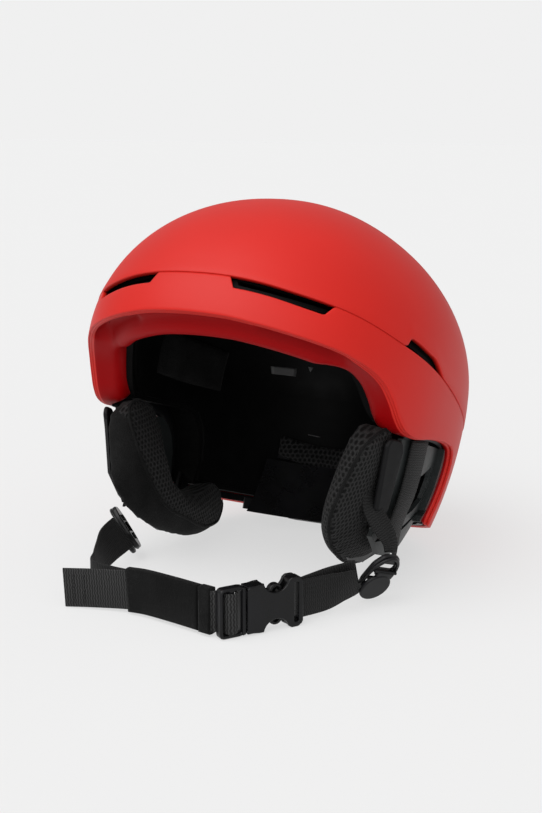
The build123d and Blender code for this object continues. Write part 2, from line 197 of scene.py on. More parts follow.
def knit(name, light=0.02, dark=0.006, scale=900.0, fuzz=0.03):
    """Brushed knit: fine loops with a little fuzz and a few pale specks of lint."""
    n = Nodes(name)
    where = n.coords().outputs["Object"]
    loops = n.add("ShaderNodeTexVoronoi", Vector=where, Scale=scale, Randomness=0.8).outputs["Distance"]
    pile = n.noise(where, 1500.0, 3.0, 0.7)
    slow = n.noise(where, 60.0, 4.0)
    height = n.math("MULTIPLY_ADD", pile, 0.6, loops)
    n.bump(height, 0.0004, 0.8)
    tone = n.math("MULTIPLY", pile, n.scalar(slow, 0.3, 0.7, 0.6, 1.3))
    speck = n.add("ShaderNodeTexVoronoi", Vector=where, Scale=210.0).outputs["Distance"]
    lint = n.scalar(speck, 0.035, 0.06, 0.55, 0.0)
    tone = n.math("ADD", tone, lint)
    colour = n.ramp(tone, [(0.25, (dark,) * 3), (0.75, (light,) * 3), (1.0, (light * 4,) * 3)])
    return n.finish(colour, 0.9, Sheen_Weight=fuzz, Sheen_Roughness=0.4, Specular_IOR_Level=0.1)


def webbing(name, pitch=0.0016, light=0.034, dark=0.004):
    """Woven strap: ribs across it, shaken by the weave, in metres of its UV map."""
    n = Nodes(name)
    uv = n.coords().outputs["UV"]
    split = n.add("ShaderNodeSeparateXYZ", i0=uv).outputs
    weave = n.math("SINE", n.math("MULTIPLY", split[1], 2 * math.pi / 0.0031))
    loose = n.add("ShaderNodeTexNoise", Vector=uv, Scale=240.0, Detail=1.0).outputs["Fac"]
    along = n.math("MULTIPLY_ADD", weave, 0.00022, split[0])
    along = n.math("MULTIPLY_ADD", loose, 0.0012, along)
    ribs = n.math("SINE", n.math("MULTIPLY", along, 2 * math.pi / pitch))
    ribs = n.scalar(ribs, -1.0, 1.0, 0.0, 1.0)
    thread = n.noise(uv, 1900.0, 2.0, 0.7)
    cross = n.math("SINE", n.math("MULTIPLY", split[1], 2 * math.pi / 0.00085))
    height = n.math("MULTIPLY_ADD", cross, 0.12, ribs)
    height = n.math("MULTIPLY_ADD", thread, 0.4, height)
    n.bump(height, 0.0003, 0.8)
    shade = n.math("MULTIPLY", ribs, n.scalar(thread, 0.3, 0.7, 0.5, 1.2))
    tone = n.ramp(shade, [(0.1, (dark,) * 3), (0.9, (light,) * 3)])
    return n.finish(tone, 0.65, Sheen_Weight=0.02, Specular_IOR_Level=0.2)


def red_paint(name, colour, rough=0.48, shine=0.25):
    """Matte moulded shell: a very fine grain under a soft, even sheen."""
    n = Nodes(name)
    where = n.coords().outputs["Object"]
    grain = n.noise(where, 3200.0, 2.0, 0.6)
    slow = n.noise(where, 14.0, 2.0)
    n.bump(grain, 0.000012, 0.5)
    darker = tuple(c * 0.95 for c in colour)
    tone = n.ramp(slow, [(0.35, darker), (0.65, colour)])
    return n.finish(tone, n.scalar(slow, 0.3, 0.7, rough - 0.02, rough + 0.03), Specular_IOR_Level=shine)


RED = red_paint("red_shell", (0.50, 0.010, 0.005))
# Painted shade: the rim's inner curl is the same red plastic, given a darker, duller copy for the shade
# under the rolled edge.
RED_LIP_SHADE = red_paint("red_lip_painted_shade", (0.28, 0.001, 0.002), 0.5, 0.08)
BLACK = plastic("black_plastic", (0.005, 0.005, 0.0055), (0.008, 0.008, 0.009), 0.42,
                Specular_IOR_Level=0.18)
GLOSS = plastic("black_gloss", (0.004, 0.004, 0.004), (0.006, 0.006, 0.007), 0.3, 1800.0,
                Specular_IOR_Level=0.22)
# The foam and the slip liner are black, and are set darker still: painted shade for the inside of the
# helmet.
FOAM = plastic("black_foam", (0.0012, 0.0012, 0.0012), (0.0025, 0.0025, 0.0025), 0.75, 500.0, 0.0002,
               Specular_IOR_Level=0.08)
LINER = plastic("slip_liner", (0.0012, 0.0012, 0.0012), (0.002, 0.002, 0.002), 0.5,
                Specular_IOR_Level=0.12)
ARM_BLACK = plastic("arm_black", (0.0035, 0.0035, 0.0038), (0.0055, 0.0055, 0.006), 0.5,
                    Specular_IOR_Level=0.12)
GREY = plastic("grey_plastic", (0.014, 0.0165, 0.0165), (0.020, 0.023, 0.023), 0.42,
               Specular_IOR_Level=0.3)
MESH = mesh_fabric("pad_mesh", 0.0034, 0.026, 0.0015, 0.0008)
KNIT = knit("pad_knit", 0.010, 0.003)
VELOUR = knit("velour", 0.006, 0.002, 1300.0, 0.05)
WEB = webbing("webbing")
# Painted shade: a darker copy of the same webbing for the side and chin straps, which face away from the
# light.
WEB_SHADED = webbing("webbing_painted_shade", 0.0016, 0.011, 0.002)
LABEL = plastic("label_grey", (0.07, 0.07, 0.07), (0.09, 0.09, 0.09), 0.5)
STEEL = plastic("pin_steel", (0.45, 0.45, 0.45), (0.55, 0.55, 0.55), 0.3, Metallic=1.0)
# The vents' own black, darkened to near black: painted shade inside the vent openings.
DARK = plastic("vent_painted_shade", (0.001, 0.001, 0.001), (0.002, 0.002, 0.002), 0.6,
               Specular_IOR_Level=0.1)
THREAD = knit("thread", 0.03, 0.012, 2500.0)


# ---- mesh tools

def build(name, points, faces, mats, place=head, uvs=None, pick=None):
    """A mesh object from millimetre points.  pick(face index) gives a material index."""
    mesh = bpy.data.meshes.new(name)
    mesh.from_pydata([place(p) for p in points], [], faces)
    mats = mats if isinstance(mats, (list, tuple)) else [mats]
    for mat in mats:
        mesh.materials.append(mat)
    if pick:
        mesh.polygons.foreach_set("material_index", [pick(i) for i in range(len(faces))])
    mesh.polygons.foreach_set("use_smooth", [True] * len(faces))
    if uvs is not None:
        layer = mesh.uv_layers.new(name="UVMap")
        for loop in mesh.loops:
            layer.data[loop.index].uv = uvs[loop.vertex_index]
    obj = bpy.data.objects.new(name, mesh)
    bpy.context.scene.collection.objects.link(obj)
    tidy_mesh(obj)
    return obj


def tidy_mesh(obj):
    """Merges doubled points and turns the faces outwards."""
    bm = bmesh.new()
    bm.from_mesh(obj.data)
    bmesh.ops.remove_doubles(bm, verts=bm.verts, dist=1e-6)
    bmesh.ops.recalc_face_normals(bm, faces=bm.faces)
    bm.to_mesh(obj.data)
    bm.free()


def grid_faces(rows, cols, close_rows=False, close_cols=False):
    """Quads of a grid of points stored row by row."""
    faces = []
    for i in range(rows if close_rows else rows - 1):
        for j in range(cols if close_cols else cols - 1):
            a = i * cols + j
            b = i * cols + (j + 1) % cols
            c = ((i + 1) % rows) * cols + (j + 1) % cols
            d = ((i + 1) % rows) * cols + j
            faces.append((a, b, c, d))
    return faces


def smooth_line(points, count, closed=False):
    """count points at even steps on a smooth curve through the given points."""
    pts = np.array(points, dtype=float)
    n = len(pts)
    out = []
    spans = n if closed else n - 1
    for i in range(spans):
        p = [pts[(i + k) % n] if closed else pts[min(max(i + k, 0), n - 1)] for k in (-1, 0, 1, 2)]
        for s in np.linspace(0, 1, 24, endpoint=False):
            out.append(0.5 * (
                2 * p[1] + (p[2] - p[0]) * s
                + (2 * p[0] - 5 * p[1] + 4 * p[2] - p[3]) * s * s
                + (3 * p[1] - p[0] - 3 * p[2] + p[3]) * s ** 3
            ))
    out.append(pts[0] if closed else pts[-1])
    out = np.array(out)
    steps = np.linalg.norm(np.diff(out, axis=0), axis=1)
    run = np.concatenate([[0], np.cumsum(steps)])
    at = np.linspace(0, run[-1], count, endpoint=not closed)
    return np.array([[np.interp(s, run, out[:, k]) for k in range(out.shape[1])] for s in at])


def tube(name, points, radius, mat, place=head, closed=False, sides=8):
    """A round bead along points."""
    pts = np.array([place(p) for p in points])
    n = len(pts)
    verts = []
    up = Vector((0.13, 0.21, 0.97))
    for i in range(n):
        a = pts[(i - 1) % n] if closed else pts[max(i - 1, 0)]
        b = pts[(i + 1) % n] if closed else pts[min(i + 1, n - 1)]
        along = Vector(b - a).normalized()
        side = along.cross(up).normalized()
        top = side.cross(along).normalized()
        for k in range(sides):
            angle = 2 * math.pi * k / sides
            off = side * math.cos(angle) + top * math.sin(angle)
            verts.append(Vector(pts[i]) + off * radius * 0.001)
    faces = grid_faces(n, sides, closed, True)
    if not closed:
        faces += [tuple(range(sides)), tuple(range((n - 1) * sides, n * sides))]
    return build(name, verts, faces, mat, place=lambda p: p)


# ---- shell surface

def skin(t, u, depth=0.0):
    """The point at angle t round the egg and latitude u, moved in by depth."""
    a, b, up, down = HALF
    c = up if u > 0 else down
    r = math.cos(u)
    ct, st = math.cos(t), math.sin(t)
    x = a * r * math.copysign(abs(ct) ** (2 / ROUND), ct)
    y = b * r * math.copysign(abs(st) ** (2 / ROUND), st)
    z = c * math.sin(u)
    p = np.array([x, y, z])
    return p - skin_normal(p) * depth if depth else p


def skin_normal(p):
    a, b, up, down = HALF
    c = up if p[2] > 0 else down
    q = max((abs(p[0]) / a) ** ROUND + (abs(p[1]) / b) ** ROUND, 1e-9)
    k = q ** (2 / ROUND - 1)
    g = np.array([
        k * (abs(p[0]) / a) ** (ROUND - 1) * math.copysign(1 / a, p[0]),
        k * (abs(p[1]) / b) ** (ROUND - 1) * math.copysign(1 / b, p[1]),
        p[2] / c ** 2,
    ])
    return g / np.linalg.norm(g)


def locate(p):
    """(t, u) of the skin point nearest a rough position."""
    a, b, up, down = HALF
    c = up if p[2] > 0 else down
    u = math.asin(max(-1, min(1, p[2] / c)))
    t = math.atan2(
        math.copysign((abs(p[1]) / b) ** (ROUND / 2), p[1]),
        math.copysign((abs(p[0]) / a) ** (ROUND / 2), p[0]),
    )
    return t, u


def soft(value, start, end):
    """0 below start, 1 above end, smooth between."""
    s = min(1.0, max(0.0, (value - start) / (end - start)))
    return s * s * (3 - 2 * s)


def hump(value, start, end, ramp):
    return soft(value, start, start + ramp) * (1 - soft(value, end - ramp, end))


SEAM_Y = [-150, -137, -121, -98, -69, -42, -18, 6, 30, 60, 100, 150]
SEAM_Z = [37, 34.5, 29, 24, 16, 10.2, 4.5, -1.8, -8, -15, -21, -25]
SEAM_LINE = smooth_line(list(zip(SEAM_Y, SEAM_Z)), 400)


def seam_height(y):
    return float(np.interp(y, SEAM_LINE[:, 0], SEAM_LINE[:, 1]))


def crown_rise(p):
    """How far the crown's edge rises over the seam: the side vents."""
    y = p[1]
    if abs(p[0]) < 90:
        return 0.0
    return 7.4 * soft(y, -62, -55) * (1 - soft(y, -30, -15)) ** 0.8 * (1 - 0.12 * soft(y, -52, -34))


def lower_drop(p):
    """How far the lower shell's edge drops under the seam: the front vents."""
    x = abs(p[0])
    if p[1] > -60:
        return 0.0
    return 7.6 * hump(x, 23.5, 79.5, 4.5)


def seam_latitude(t, shift):
    """The latitude where the skin meets the seam moved up by shift(point)."""
    lo, hi = -0.6, 0.9
    for _ in range(40):
        mid = (lo + hi) / 2
        p = skin(t, mid)
        if p[2] > seam_height(p[1]) + shift(p):
            hi = mid
        else:
            lo = mid
    return (lo + hi) / 2


def make_crown():
    cols, rows = 300, 46
    points = []
    edge = [(0.0, 0.0), (0.25, 0.12), (0.5, 0.5), (0.55, 1.1), (0.4, 3.0), (-2.0, 3.0), (-6.0, 3.0)]
    for j in range(cols):
        t = 2 * math.pi * j / cols
        end = seam_latitude(t, crown_rise)
        line = []
        for i in range(rows):
            s = (i / (rows - 1)) ** 0.92
            u = math.pi / 2 * (1 - s) + end * s
            u = min(u, math.pi / 2 - 0.004)
            proud = 0.35 * soft(s, 0.93, 0.99)
            line.append(skin(t, u, -proud))
        base, before = line[-1], skin(t, end + 0.02)
        n = skin_normal(skin(t, end))
        down = base - before
        down /= np.linalg.norm(down)
        for o, d in edge[1:]:
            line.append(base + down * o - n * d)
        for s in (0.85, 0.6, 0.3, 0.02):
            u = math.pi / 2 * (1 - s) + end * s
            line.append(skin(t, min(u, math.pi / 2 - 0.004), 3.0))
        points.append(line)
    per = len(points[0])
    flat = [p for line in points for p in line]
    faces = grid_faces(cols, per, True, False)
    faces.append(tuple(j * per for j in range(cols)))
    faces.append(tuple(j * per + per - 1 for j in range(cols)))
    crown = build("crown", flat, faces, RED)
    cut_rear_vents(crown)
    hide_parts("crown_shell")
    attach(crown, "helmet")


def cut_rear_vents(obj):
    cutters = []
    for sign in (1, -1):
        outline = smooth_line([
            (16.5, 25), (33, 23.4), (48, 20.4), (49.5, 17.5), (46, 13.8), (32, 15.8), (19, 18), (16.4, 21),
        ], 40, True)
        points = [(sign * x, y, z) for y in (90, 160) for x, z in outline]
        faces = grid_faces(2, 40, False, True) + [tuple(range(40)), tuple(range(40, 80))]
        cutters.append(build("vent_cutter", points, faces, RED))
    for cutter in cutters:
        mod = obj.modifiers.new("cut", "BOOLEAN")
        mod.operation = "DIFFERENCE"
        mod.object = cutter
        mod.solver = "EXACT"
    apply_modifiers(obj)
    for cutter in cutters:
        bpy.data.objects.remove(cutter)


def apply_modifiers(obj):
    graph = bpy.context.evaluated_depsgraph_get()
    mesh = bpy.data.meshes.new_from_object(obj.evaluated_get(graph))
    obj.modifiers.clear()
    old = obj.data
    obj.data = mesh
    bpy.data.meshes.remove(old)


# The lower shell's free edge on the wearer's left, from the brow round the ear to the rear.
EDGE = [
    (0, -143.4, 10.2), (16, -142.6, 9.9), (30, -140, 9.2), (48.5, -134, 7.0), (65, -124, 4.6),
    (80, -111, 2.0), (89, -100, -0.6), (95, -91, -3.4), (100, -82, -7), (104, -73, -12.5),
    (107, -64, -21), (108.6, -56, -29.4), (110, -47, -34.9), (113, -32.6, -36.7),
    (115, -15, -34.2), (115.4, 4, -32.6), (114.5, 20, -32.8), (112.6, 29, -34.2),
    (111, 36, -38), (110, 41, -46), (108, 42, -57.7), (105.4, 40.6, -69), (102, 37.5, -79),
    (99.5, 36.8, -84), (98.5, 42, -85.4), (95, 52, -85.4), (86, 74, -85), (70, 98, -85),
    (40, 120, -85), (16, 128, -85), (0, 129, -85),
]
# Where each stretch of the edge is matched to the seam: edge y at a corner and seam y.
MATCH = [(0, 0.0), (9, 0.30), (12, 0.42), (17, 0.60), (23, 0.70), (30, 1.0)]

BROW = [
    (0.45, 0.35), (0.6, 0.9), (0.15, 1.15), (0.75, 1.5), (0.95, 2.4), (0.5, 2.75), (1.1, 3.2),
    (1.0, 4.2), (-0.6, 6.0), (-1.6, 8.5), (-1.8, 11.0), (-1.2, 13.5), (0.2, 15.2), (2.4, 16.2),
    (4.8, 17.4), (6.6, 19.4), (7.4, 21.8), (7.2, 24.2), (5.6, 26.2), (2.6, 27.4),
]
TEMPLE = [
    (0.45, 0.35), (0.7, 0.9), (0.3, 1.15), (0.9, 1.5), (1.3, 2.4), (0.9, 2.75), (1.5, 3.2),
    (1.7, 4.2), (1.8, 6.0), (1.8, 8.5), (1.9, 11.0), (2.2, 13.5), (2.4, 15.2), (2.4, 16.6),
    (2.2, 18.2), (1.6, 19.9), (0.4, 21.6), (-1.6, 23.2), (-4.2, 24.6), (-8.0, 26.0),
]
EAR = [
    (0.5, 0.35), (0.75, 0.9), (0.75, 1.5), (0.3, 1.9), (0.3, 2.3), (0.9, 2.6), (1.2, 3.0),
    (1.3, 3.6), (1.3, 4.2), (1.3, 4.8), (1.2, 5.4), (1.0, 5.9), (0.6, 6.3), (0.0, 6.6),
    (-0.8, 6.8), (-1.8, 7.0), (-2.8, 7.0), (-3.8, 7.0), (-4.8, 7.0), (-6.0, 7.0),
]
REAR = [
    (0.35, 0.25), (0.55, 0.7), (0.6, 1.1), (0.6, 1.5), (0.6, 1.9), (0.55, 2.3), (0.4, 2.6),
    (0.2, 2.9), (0.0, 3.0), (-0.3, 3.05), (-0.6, 3.1), (-1.0, 3.1), (-1.4, 3.1), (-1.8, 3.1),
    (-2.2, 3.1), (-2.6, 3.1), (-3.0, 3.1), (-3.4, 3.1), (-3.8, 3.1), (-4.4, 3.1),
]


def edge_columns():
    """Columns of the left half: matched points on the free edge and on the seam."""
    count = 262
    edge = smooth_line([locate(p) for p in EDGE], 4000)
    world = np.array([skin(t, u) for t, u in edge])
    run = np.concatenate([[0], np.cumsum(np.linalg.norm(np.diff(world, axis=0), axis=1))])
    knots = []
    for index, _ in MATCH:
        p = np.array(EDGE[index], dtype=float)
        knots.append(run[np.argmin(np.linalg.norm(world - p, axis=1))])
    knots[0], knots[-1] = 0.0, run[-1]
    ts = np.linspace(-math.pi / 2, math.pi / 2, 900)
    seam = np.array([skin(t, seam_latitude(t, lambda p: 0.0)) for t in ts])
    seam_run = np.concatenate([[0], np.cumsum(np.linalg.norm(np.diff(seam, axis=0), axis=1))])
    columns = []
    for s in np.linspace(0, run[-1], count):
        te, ue = (float(np.interp(s, run, edge[:, k])) for k in (0, 1))
        share = float(np.interp(s, knots, [m for _, m in MATCH]))
        ts_here = float(np.interp(share * seam_run[-1], seam_run, ts))
        columns.append((s, te, ue, ts_here, knots))
    return columns


def edge_profile(s, knots, point):
    """The rolled edge at run s: a mix of the brow, temple, ear and rear shapes."""
    corner, cut, rear_low = knots[1], knots[2], knots[4]
    temple = soft(s, corner - 46, corner - 12)
    ear = soft(s, cut - 4, cut + 16)
    rear = soft(s, rear_low - 3, rear_low + 7)
    mix = []
    for b, t, e, r in zip(BROW, TEMPLE, EAR, REAR):
        p = np.array(b) * (1 - temple) + np.array(t) * temple
        p = p * (1 - ear) + np.array(e) * ear
        p = p * (1 - rear) + np.array(r) * rear
        mix.append(p)
    scoop = hump(point[0], 42, 94, 9.0) * (1 - ear)
    if scoop > 0 and point[1] < -70:
        for i, deep in ((7, 0.4), (8, 1.0), (9, 1.25), (10, 1.25), (11, 1.1), (12, 0.7)):
            mix[i] = mix[i] + np.array([-3.6 * deep * scoop, 0.0])
    return mix


def edge_frames(columns):
    """At each column the edge point, the way out of the shell's rim and the normal."""
    world = [skin(te, ue) for _, te, ue, _, _ in columns]
    frames = []
    for k, base in enumerate(world):
        n = skin_normal(base)
        along = world[min(k + 1, len(world) - 1)] - world[max(k - 1, 0)]
        if k in (0, len(world) - 1):
            along = np.array([1.0, 0, 0]) if k == 0 else np.array([-1.0, 0, 0])
        out = np.cross(along, n)
        frames.append((base, out / np.linalg.norm(out), n))
    return frames


def lower_columns():
    """The closed cross-section of the lower shell at each column of the left half."""
    rings = []
    columns = edge_columns()
    frames = edge_frames(columns)
    for k, (s, te, ue, tseam, knots) in enumerate(columns):
        top = seam_latitude(tseam, lambda p: -0.55 - lower_drop(p))
        ring = [skin(tseam, top, 3.0), skin(tseam, top, 1.4), skin(tseam, top, 0.5)]
        rows = 18
        for i in range(rows):
            v = i / (rows - 1)
            v = v + 0.012 if i == 0 else v
            sunk = 0.12 if i == 0 else 0.0
            ring.append(skin(tseam + (te - tseam) * v, top + (ue - top) * v, sunk))
        base, out, n = frames[k]
        profile = edge_profile(s, knots, base)
        for o, d in profile:
            ring.append(base + out * o - n * d)
        last_o, last_d = profile[-1]
        ring.append(base + out * (last_o - 5) - n * (last_d * 0.97))
        ring.append(base + out * (last_o - 9) - n * (3.0 + (last_d - 3.0) * 0.5))
        ring.append(base + out * (last_o - 10) - n * 3.0)
        for v in (0.66, 0.33):
            ring.append(skin(tseam + (te - tseam) * v, top + (ue - top) * v, 3.0))
        rings.append(ring)
    return rings


def make_lower():
    left = lower_columns()
    for ring in (left[0], left[-1]):
        for p in ring:
            p[0] = 0.0
    right = [[np.array([-p[0], p[1], p[2]]) for p in ring] for ring in left[-2:0:-1]]
    rings = left + right
    per = len(rings[0])
    points = [p for ring in rings for p in ring]
    faces = grid_faces(len(rings), per, True, True)
    # Faces on the inner curl of the rim take the darker red of painted shade.
    shade_from, shade_to = 3 + 18 + 7, per - 5
    pick = lambda i: 1 if shade_from <= i % per < shade_to else 0
    lower = build("lower_shell_skin", points, faces, [RED, RED_LIP_SHADE], pick=pick)
    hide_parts("lower_shell", "brow_frame")
    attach(lower, "helmet")


def make_ear_flanges():
    """A black trim just inside the shell's edge round each ear opening."""
    columns = edge_columns()
    section = [(2.6, 7.2), (2.6, 8.4), (-2.0, 8.8), (-9.0, 9.0), (-9.0, 7.4), (-2.0, 7.2)]
    points = []
    for (s, _, _, _, knots), (base, out, n) in zip(columns, edge_frames(columns)):
        if knots[2] + 8 < s < knots[4] - 6:
            points += [base + out * o - n * d for o, d in section]
    k = len(section)
    rings = len(points) // k
    faces = grid_faces(rings, k, False, True) + [tuple(range(k)), tuple(range((rings - 1) * k, rings * k))]
    for side, word in ((1, "left"), (-1, "right")):
        trim = build("ear_flange_" + word, [(side * x, y, z) for x, y, z in points], faces, BLACK)
        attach(trim, "helmet")


make_crown()
make_lower()
make_ear_flanges()


# ---- ear pads

# The pad's outline where its mesh face ends and at its back, point for point, in the
# head frame's Y and Z.  The first PAD_OUTER points run round the outside of the hook.
PAD_SEAM = [
    (-33, -35), (-46, -31.5), (-59, -33), (-65.5, -41), (-63.5, -53), (-59, -67), (-51.5, -81),
    (-41.5, -93), (-28, -100), (-5, -104), (20, -108), (42, -104), (53, -97), (57, -87),
    (52, -78), (43, -77), (29, -83), (8, -87), (-10, -83), (-19.5, -73), (-22.5, -59), (-25.5, -45),
]
PAD_BACK = [
    (-32, -36), (-46, -33), (-61, -41), (-70, -50), (-72.5, -62), (-73, -76), (-72, -90),
    (-63, -101), (-42, -111), (-12, -117), (20, -117.5), (45, -111), (55, -103), (57, -93),
    (51, -84), (43, -80), (29, -82), (8, -84.5), (-9, -80), (-18, -71), (-21, -58), (-24, -45),
]
PAD_OUTER = 14


def pad_x(z):
    """The plane of the pad's inner face, leaning in towards the chin."""
    return 84.4 + 0.32 * z


def pad_point(y, z, across, side, splay):
    """A point of a pad: across is 0 on the inner face and 20 on the outer one."""
    return (side * (pad_x(z) + across + splay * soft(-y, -40, 72)), y, z)


def unhead(place):
    """Head-frame millimetres of a row-frame place."""
    x, y, z = (place - CENTRE) * 1000
    return x, y * COS - z * SIN, y * SIN + z * COS


def within(outline, y, z):
    """True where (y, z) lies inside a closed outline."""
    a, b = outline, np.roll(outline, -1, axis=0)
    spans = (a[:, 1] > z) != (b[:, 1] > z)
    rise = np.where(spans, b[:, 1] - a[:, 1], 1.0)
    at = a[:, 0] + (z - a[:, 1]) / rise * (b[:, 0] - a[:, 0])
    return bool(np.sum(spans & (at > y)) % 2)


def make_ear_pad(side, splay, wrap):
    name = "ear_pad_left" if side > 0 else "ear_pad_right"
    both = smooth_line([a + b for a, b in zip(PAD_SEAM, PAD_BACK)], 120, True)
    points = []
    for mix, across in ((0.0, 1.6), (0.45, 5.0), (0.85, 10.5), (1.0, 15.0), (0.97, 18.5)):
        for row_points in both:
            y, z = row_points[:2] * (1 - mix) + row_points[2:] * mix
            points.append(pad_point(y, z, across, side, splay))
    faces = grid_faces(5, 120, False, True)
    faces += [tuple(range(120)), tuple(range(480, 600))]
    pad = build(name + "_soft", points, faces, MESH)
    remesh(pad, 0.003)
    relax(pad, 4)
    inflate(pad, 0.005)
    subdivide(pad, 1)
    outer = [[a * (1 - wrap) + b * wrap for a, b in zip(p, q)] for p, q in zip(PAD_SEAM, PAD_BACK)]
    zone = smooth_line(outer[:PAD_OUTER], 90)
    pad.data.materials.append(KNIT)
    for face in pad.data.polygons:
        x, y, z = unhead(face.center)
        across = side * x - pad_x(z) - splay * soft(-y, -40, 72)
        face.material_index = 0 if wrap or across < 10 and within(zone, y, z) else 1
    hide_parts(name)
    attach(pad, name)
    edge = on_surface(pad, [head(pad_point(y, z, 1.2 + 14 * wrap, side, splay)) for y, z in zone], 0.0001)
    cord = tube(name + "_piping", edge, 1.15, KNIT, place=lambda p: p)
    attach(cord, name)
    inside = smooth_line([tuple(p) for p in offset_ring(zone, 2.8)], 90)
    line = on_surface(pad, [head(pad_point(y, z, 0.4 + 13 * wrap, side, splay)) for y, z in inside], 0.0)
    stitch(name + "_stitches", line, 0.0026, 0.0003, THREAD, name)


def offset_ring(ring, distance):
    """A closed outline moved inwards by distance."""
    out = []
    n = len(ring)
    area = sum(ring[i][0] * ring[(i + 1) % n][1] - ring[(i + 1) % n][0] * ring[i][1] for i in range(n))
    for i in range(n):
        along = ring[(i + 1) % n] - ring[i - 1]
        along = along / np.linalg.norm(along)
        normal = np.array([-along[1], along[0]]) * (1 if area > 0 else -1)
        out.append(ring[i] + normal * distance)
    return np.array(out)


def remesh(obj, size):
    mod = obj.modifiers.new("remesh", "REMESH")
    mod.mode = "VOXEL"
    mod.voxel_size = size
    mod.use_smooth_shade = True
    apply_modifiers(obj)


def relax(obj, rounds):
    mod = obj.modifiers.new("smooth", "SMOOTH")
    mod.factor = 0.5
    mod.iterations = rounds
    apply_modifiers(obj)


def subdivide(obj, levels):
    mod = obj.modifiers.new("subdivision", "SUBSURF")
    mod.levels = levels
    mod.render_levels = levels
    apply_modifiers(obj)
    obj.data.polygons.foreach_set("use_smooth", [True] * len(obj.data.polygons))


def inflate(obj, cap):
    """Swells a pad with cloth pressure; no point moves further than cap."""
    scene = bpy.context.scene
    before = np.array([v.co[:] for v in obj.data.vertices])
    mod = obj.modifiers.new("cloth", "CLOTH")
    mod.settings.quality = 5
    mod.settings.mass = 0.3
    mod.settings.tension_stiffness = 25
    mod.settings.compression_stiffness = 25
    mod.settings.bending_stiffness = 2.0
    mod.settings.use_pressure = True
    mod.settings.uniform_pressure_force = 4.0
    mod.settings.effector_weights.gravity = 0.0
    mod.point_cache.frame_start = 1
    mod.point_cache.frame_end = 20
    for number in range(1, 21):
        scene.frame_set(number)
    graph = bpy.context.evaluated_depsgraph_get()
    after = np.array([v.co[:] for v in obj.evaluated_get(graph).data.vertices])
    obj.modifiers.clear()
    scene.frame_set(1)
    move = after - before
    size = np.linalg.norm(move, axis=1)
    scale = np.where(size > cap, cap / np.maximum(size, 1e-9), 1.0)
    after = before + move * scale[:, None]
    obj.data.vertices.foreach_set("co", after.ravel())
    obj.data.update()


def on_surface(obj, points, lift):
    """The points of an object's surface nearest the given row-frame points."""
    tree = BVHTree.FromPolygons([v.co for v in obj.data.vertices], [p.vertices for p in obj.data.polygons])
    out = []
    for p in points:
        place, normal, _, _ = tree.find_nearest(p)
        out.append(place + normal * lift)
    return out


def stitch(name, line, length, radius, mat, body):
    """Short thread stitches along a line of row-frame points."""
    pts = smooth_line([tuple(p) for p in line], max(8, int(run_length(line) / (length * 1.5))) * 3)
    verts, faces = [], []
    for i in range(0, len(pts) - 2, 3):
        a, b = Vector(pts[i]), Vector(pts[i + 2])
        along = (b - a).normalized()
        side = along.cross(Vector((0.3, 0.5, 0.8))).normalized()
        up = side.cross(along)
        rings = ((0.0, 0.35), (0.2, 0.9), (0.5, 1.1), (0.8, 0.9), (1.0, 0.35))
        first = len(verts)
        for share, fat in rings:
            centre = a.lerp(b, share)
            for k in range(6):
                angle = math.pi * k / 3
                off = side * math.cos(angle) + up * math.sin(angle)
                verts.append(centre + off * radius * fat)
        faces += [tuple(first + v for v in f) for f in grid_faces(5, 6, False, True)]
        faces += [tuple(range(first, first + 6)), tuple(range(first + 24, first + 30))]
    obj = build(name, verts, faces, mat, place=lambda p: p)
    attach(obj, body)


def run_length(line):
    return sum((Vector(b) - Vector(a)).length for a, b in zip(line, line[1:]))


# ---- straps

def strap(name, stations, width, thick, mat, body, nodes=(), shift=0.0, place=row, widths=None):
    """Flat webbing through stations of (centre, width direction), with rounded edges."""
    table = [tuple(c) + tuple(Vector(w).normalized()) for c, w in stations]
    rough = sum((Vector(b[:3]) - Vector(a[:3])).length for a, b in zip(table, table[1:]))
    count = max(6, int(rough / 1.6))
    line = smooth_line(table, count)
    section = [(-1, 0), (-0.985, -0.7), (-0.95, -1), (0, -1), (0.95, -1), (0.985, -0.7),
               (1, 0), (0.985, 0.7), (0.95, 1), (0, 1), (-0.95, 1), (-0.985, 0.7)]
    verts, uvs = [], []
    run = 0.0
    for i in range(count):
        centre = Vector(line[i][:3])
        along = Vector(line[min(i + 1, count - 1)][:3]) - Vector(line[max(i - 1, 0)][:3])
        along.normalize()
        across = Vector(line[i][3:])
        across = (across - along * across.dot(along)).normalized()
        normal = along.cross(across)
        if i:
            run += (centre - Vector(line[i - 1][:3])).length * 0.001
        w = width
        if widths is not None:
            w = float(np.interp(i / (count - 1), [k for k, _ in widths], [v for _, v in widths]))
        for a, t in section:
            verts.append(centre + normal * (shift + t * thick / 2) + across * (a * w / 2))
            uvs.append((run, a * w * 0.0005 + 0.1))
    k = len(section)
    faces = grid_faces(count, k, False, True)
    faces += [tuple(range(k)), tuple(range((count - 1) * k, count * k))]
    obj = build(name, verts, faces, mat, place=place, uvs=uvs)
    if body:
        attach(obj, body)
    if nodes:
        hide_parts(*nodes)
    return obj


# Centre, width direction and how far the right copy follows its divider.
SIDE_REAR = [
    ((108.2, -17, -36.6), (0.1, 1, 0), 0.0), ((103.8, -13, -66), (0.1, 1, 0.1), 0.0),
    ((99.6, -15, -88), (0, 1, 0.1), 0.2), ((100.2, -23, -104), (0.1, 1, 0), 1.0),
]
SIDE_FRONT = [
    ((94, -44, -46), (0, 1, -0.2), 0.0), ((91.6, -44, -66), (0, 1, -0.2), 0.15),
    ((90.8, -43, -76), (0.1, 1, 0.2), 0.3), ((94.2, -38, -90), (0.1, 1, 0.5), 0.8),
    ((96, -31, -99), (0.1, 1, 0.5), 1.0), ((97, -28.5, -104.5), (0.1, 1, 0.3), 1.0),
]
